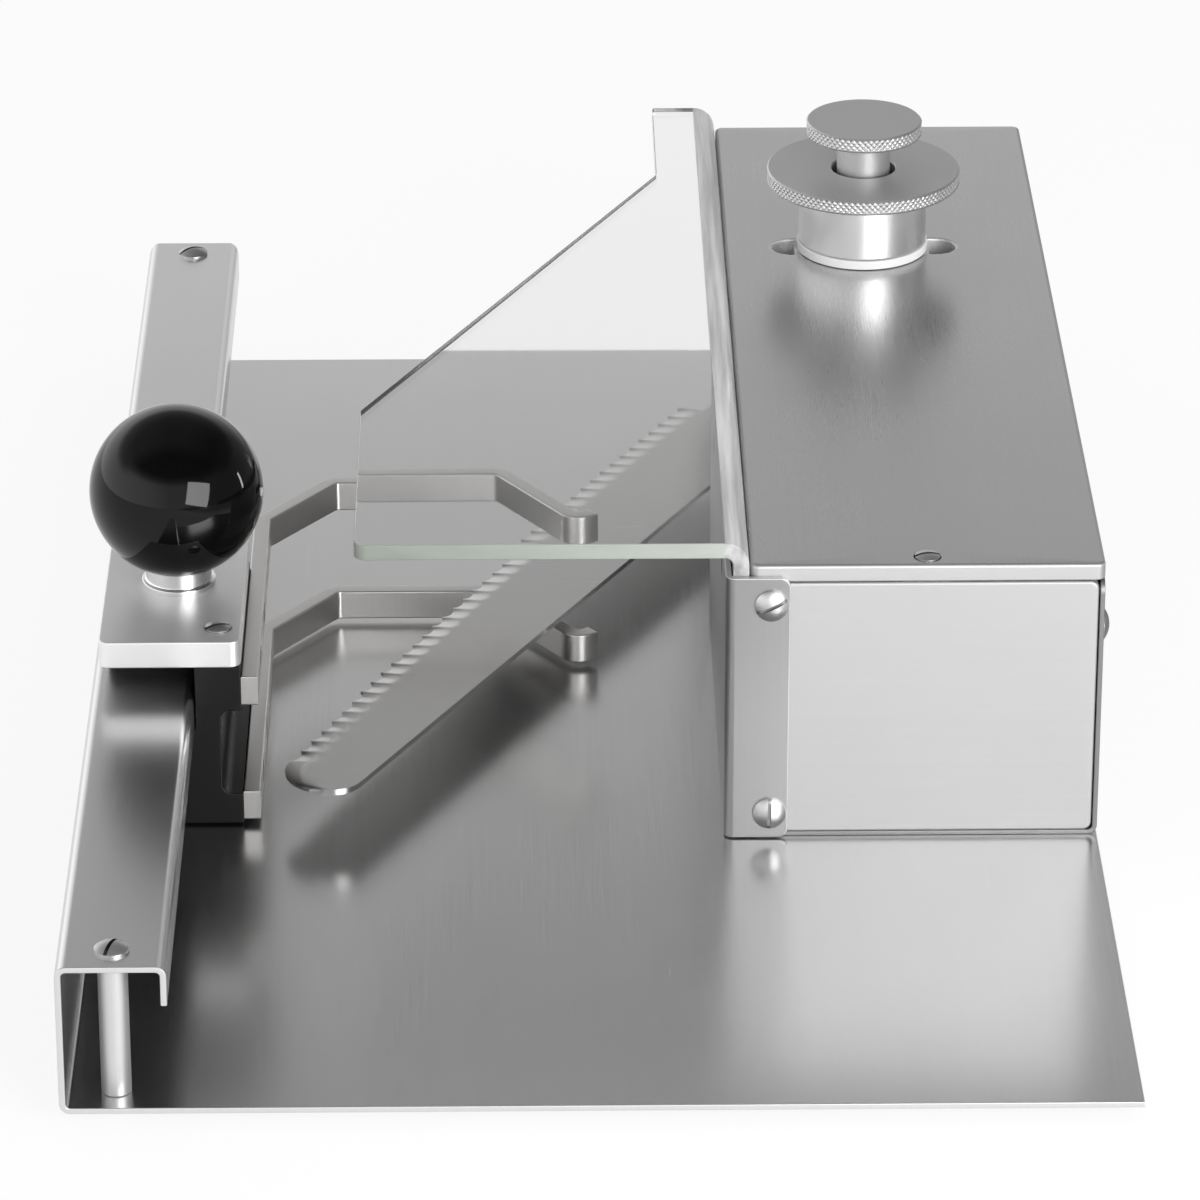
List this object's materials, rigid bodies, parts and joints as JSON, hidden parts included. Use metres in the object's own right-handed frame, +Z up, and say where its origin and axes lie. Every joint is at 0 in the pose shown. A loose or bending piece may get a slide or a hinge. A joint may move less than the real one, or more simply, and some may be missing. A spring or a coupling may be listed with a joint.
{
  "type": "bread roll cutter",
  "caption": "Manual bread roll cutter: a ball-knob slide on a folded steel rail pushes a roll in a bar cradle past an adjustable serrated knife under a clear guard.",
  "frame": {"origin": "on the table, under the middle of the base plate", "axes": "+X across the base plate from the rail to the housing, +Y away from the user along the rail, +Z up"},
  "size_m": [0.253, 0.44, 0.1168],
  "materials": {
    "stainless_sheet": "brushed along the rail, mirror-like reflections blurred by the grain",
    "housing_sheet": "brushed",
    "panel_sheet": "fine brushed",
    "lid_sheet": "fine brushed along the housing",
    "satin_aluminium": "satin",
    "knurled_aluminium": "turned, knurled rims",
    "polished_steel": "polished",
    "cradle_steel": "brushed bar with sawn ends",
    "blade_steel": "ground across the blade",
    "black_phenolic": "high gloss",
    "black_nylon": "machined, matt",
    "white_plastic": "smooth",
    "clear_acrylic": "clear with pale green edges",
    "rubber": "matt",
    "brass": "turned"
  },
  "bodies": {
    "frame": {"base_plate": "stainless_sheet", "rubber_feet": "rubber", "rail_posts": "polished_steel", "rail_screws": "polished_steel", "post_screws": "polished_steel", "guide_rods": "polished_steel", "left_rod_support": "satin_aluminium", "right_rod_support": "satin_aluminium", "housing_tray": "housing_sheet", "front_panel": "panel_sheet", "rear_panel": "panel_sheet", "lid_blocks": "satin_aluminium", "lid": "lid_sheet", "lid_screws": "polished_steel", "side_screws": "polished_steel", "side_nuts": "polished_steel", "tray_screws": "polished_steel", "tray_nuts": "polished_steel", "corner_bracket": "panel_sheet", "bracket_screws": "polished_steel", "guard": "clear_acrylic", "guard_screws": "polished_steel", "guard_nuts": "polished_steel"},
    "slide": {"slide_block": "black_nylon", "slide_plate": "satin_aluminium", "slide_plate_screws": "polished_steel", "knob_neck": "polished_steel", "ball_knob": "black_phenolic", "upper_band": "cradle_steel", "lower_band": "cradle_steel", "band_screws": "polished_steel"},
    "knife_carrier": {"carrier": "satin_aluminium", "rod_bushes": "brass", "lift_pins": "polished_steel", "slot_stud": "polished_steel", "slot_washer": "white_plastic"},
    "clamp_knob": {"clamp_knob": "knurled_aluminium"},
    "height_knob": {"height_knob": "knurled_aluminium", "height_spindle": "polished_steel"},
    "knife_lift": {"knife": "blade_steel", "knife_holder": "satin_aluminium", "knife_clamp": "satin_aluminium", "knife_clamp_screws": "polished_steel", "lift_nut": "brass"}
  },
  "joints": [
    {"name": "slide_travel", "type": "slide", "parent": "frame", "child": "slide", "axis": [0, 1, 0], "range_m": [-0.1295, 0.2205]},
    {"name": "depth_travel", "type": "slide", "parent": "frame", "child": "knife_carrier", "axis": [1, 0, 0], "range_m": [-0.013, 0.021]},
    {"name": "clamp_turn", "type": "hinge", "parent": "knife_carrier", "child": "clamp_knob", "pos_m": [0.0755, 0.1225, 0.0926], "axis": [0, 0, 1], "range_deg": [0, 360]},
    {"name": "height_turn", "type": "hinge", "parent": "knife_carrier", "child": "height_knob", "pos_m": [0.0755, 0.1225, 0.0926], "axis": [0, 0, 1], "range_deg": [-90, 1440]},
    {"name": "knife_lift", "type": "slide", "parent": "knife_carrier", "child": "knife_lift", "axis": [0, 0, 1], "range_m": [-0.0011, 0.0161]}
  ],
  "couplings": [
    {"joint": "knife_lift", "follows": "height_turn", "m_per_rad": 0.00063662}
  ]
}
